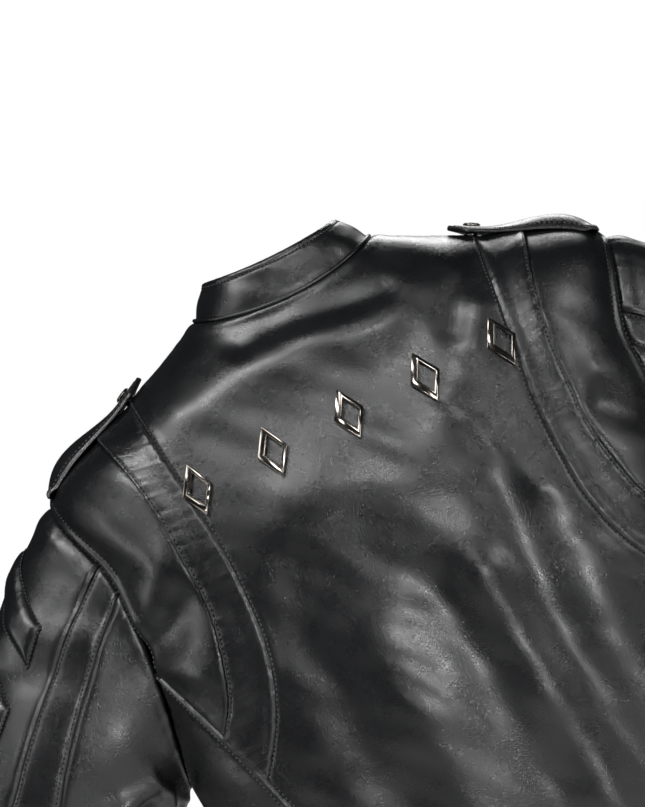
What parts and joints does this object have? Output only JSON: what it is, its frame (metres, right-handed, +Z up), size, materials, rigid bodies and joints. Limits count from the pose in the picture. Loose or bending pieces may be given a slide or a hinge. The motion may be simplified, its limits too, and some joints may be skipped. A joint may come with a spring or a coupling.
{
  "type": "riding jacket",
  "caption": "Long-sleeved leather riding jacket with stand collar, front zip, bi-swing back bands, quilted sleeve patches and shoulder straps.",
  "frame": {"origin": "middle of the jacket's width and depth, on the plane that the hem stands on", "axes": "+Z up from the hem to the collar, -Y out of the back, +X to the wearer's right, across the spread sleeves"},
  "size_m": [1.3244, 0.259, 0.6791],
  "materials": {
    "leather": "smooth semi-gloss nappa, fine grain",
    "lining": "woven satin",
    "zip_tape": "woven tape with metal teeth",
    "dark_metal": "polished gunmetal"
  },
  "bodies": {
    "jacket": {"back_panel": "leather", "back_band_right": "leather", "back_band_left": "leather", "shoulder_panel_right": "leather", "shoulder_panel_left": "leather", "side_panel_right": "leather", "side_panel_left": "leather", "front_panel_right": "leather", "front_panel_left": "leather", "hem_band_back": "leather", "hem_band_front_right": "leather", "hem_band_front_left": "leather", "stand_collar": "leather", "sleeve_head_right": "leather", "sleeve_head_left": "leather", "lining_back": "lining", "lining_front_right": "lining", "lining_front_left": "lining", "front_zip_tape_right": "zip_tape", "front_zip_tape_left": "zip_tape", "pocket_zip_right": "zip_tape", "pocket_zip_left": "zip_tape", "epaulette_post_right": "dark_metal", "epaulette_post_left": "dark_metal", "collar_stud": "dark_metal", "badge_1": "dark_metal", "badge_2": "dark_metal", "badge_3": "dark_metal", "badge_4": "dark_metal", "badge_5": "dark_metal"},
    "front_zip_slider": {"front_zip_slider": "dark_metal"},
    "front_zip_pull": {"front_zip_pull": "dark_metal"},
    "collar_tab": {"collar_tab": "leather", "collar_tab_snap": "dark_metal"},
    "pocket_zip_slider_right": {"pocket_zip_slider_right": "dark_metal"},
    "pocket_zip_pull_right": {"pocket_zip_pull_right": "dark_metal"},
    "sleeve_right": {"sleeve_top_panel_right": "leather", "sleeve_stripe_right": "leather", "sleeve_under_panel_right": "leather", "quilted_patch_right": "leather", "sleeve_lining_right": "lining", "cuff_right": "leather", "cuff_zip_right": "zip_tape"},
    "cuff_zip_slider_right": {"cuff_zip_slider_right": "dark_metal"},
    "cuff_zip_pull_right": {"cuff_zip_pull_right": "dark_metal"},
    "epaulette_right": {"epaulette_right": "leather", "epaulette_snap_right": "dark_metal"},
    "pocket_zip_slider_left": {"pocket_zip_slider_left": "dark_metal"},
    "pocket_zip_pull_left": {"pocket_zip_pull_left": "dark_metal"},
    "sleeve_left": {"sleeve_top_panel_left": "leather", "sleeve_stripe_left": "leather", "sleeve_under_panel_left": "leather", "quilted_patch_left": "leather", "sleeve_lining_left": "lining", "cuff_left": "leather", "cuff_zip_left": "zip_tape"},
    "cuff_zip_slider_left": {"cuff_zip_slider_left": "dark_metal"},
    "cuff_zip_pull_left": {"cuff_zip_pull_left": "dark_metal"},
    "epaulette_left": {"epaulette_left": "leather", "epaulette_snap_left": "dark_metal"}
  },
  "joints": [
    {"name": "front_zip_slide", "type": "slide", "parent": "jacket", "child": "front_zip_slider", "axis": [0, -0.0232, -0.9997], "range_m": [0, 0.355]},
    {"name": "front_zip_pull_hinge", "type": "hinge", "parent": "front_zip_slider", "child": "front_zip_pull", "pos_m": [0, 0.12733, 0.39443], "axis": [1, 0, 0], "range_deg": [-1.33, 140]},
    {"name": "pocket_zip_slide_right", "type": "slide", "parent": "jacket", "child": "pocket_zip_slider_right", "axis": [0.242, -0.1348, -0.9609], "range_m": [0, 0.105]},
    {"name": "pocket_zip_pull_hinge_right", "type": "hinge", "parent": "pocket_zip_slider_right", "child": "pocket_zip_pull_right", "pos_m": [0.11607, 0.11147, 0.21998], "axis": [0.9256, -0.2649, 0.2703], "range_deg": [-3.61, 130]},
    {"name": "sleeve_swing_right", "type": "hinge", "parent": "jacket", "child": "sleeve_right", "pos_m": [0.214, -0.00296, 0.463], "axis": [0, -1, 0], "range_deg": [-5, 40], "deforming": ["sleeve_head_right"]},
    {"name": "cuff_zip_slide_right", "type": "slide", "parent": "sleeve_right", "child": "cuff_zip_slider_right", "axis": [0.726, 0.2907, -0.6232], "range_m": [0, 0.075]},
    {"name": "cuff_zip_pull_hinge_right", "type": "hinge", "parent": "cuff_zip_slider_right", "child": "cuff_zip_pull_right", "pos_m": [0.51513, -0.00966, 0.15049], "axis": [-0.6665, 0.5207, -0.5336], "range_deg": [-42.53, 90]},
    {"name": "epaulette_hinge_right", "type": "hinge", "parent": "jacket", "child": "epaulette_right", "pos_m": [0.22674, -0.00696, 0.58258], "axis": [0, 1, 0], "range_deg": [0, 100]},
    {"name": "pocket_zip_slide_left", "type": "slide", "parent": "jacket", "child": "pocket_zip_slider_left", "axis": [-0.242, -0.1348, -0.9609], "range_m": [0, 0.105]},
    {"name": "pocket_zip_pull_hinge_left", "type": "hinge", "parent": "pocket_zip_slider_left", "child": "pocket_zip_pull_left", "pos_m": [-0.11607, 0.11147, 0.21998], "axis": [0.9256, 0.2649, -0.2703], "range_deg": [-3.61, 130]},
    {"name": "sleeve_swing_left", "type": "hinge", "parent": "jacket", "child": "sleeve_left", "pos_m": [-0.214, -0.00296, 0.463], "axis": [0, 1, 0], "range_deg": [-5, 40], "deforming": ["sleeve_head_left"]},
    {"name": "cuff_zip_slide_left", "type": "slide", "parent": "sleeve_left", "child": "cuff_zip_slider_left", "axis": [-0.726, 0.2907, -0.6232], "range_m": [0, 0.075]},
    {"name": "cuff_zip_pull_hinge_left", "type": "hinge", "parent": "cuff_zip_slider_left", "child": "cuff_zip_pull_left", "pos_m": [-0.51513, -0.00966, 0.15049], "axis": [-0.6665, -0.5207, 0.5336], "range_deg": [-42.53, 90]},
    {"name": "epaulette_hinge_left", "type": "hinge", "parent": "jacket", "child": "epaulette_left", "pos_m": [-0.22674, -0.00696, 0.58258], "axis": [0, -1, 0], "range_deg": [0, 100]},
    {"name": "collar_tab_hinge", "type": "hinge", "parent": "jacket", "child": "collar_tab", "pos_m": [-0.04899, 0.04257, 0.63853], "axis": [0.4234, 0.0497, 0.9046], "range_deg": [0, 110]}
  ]
}
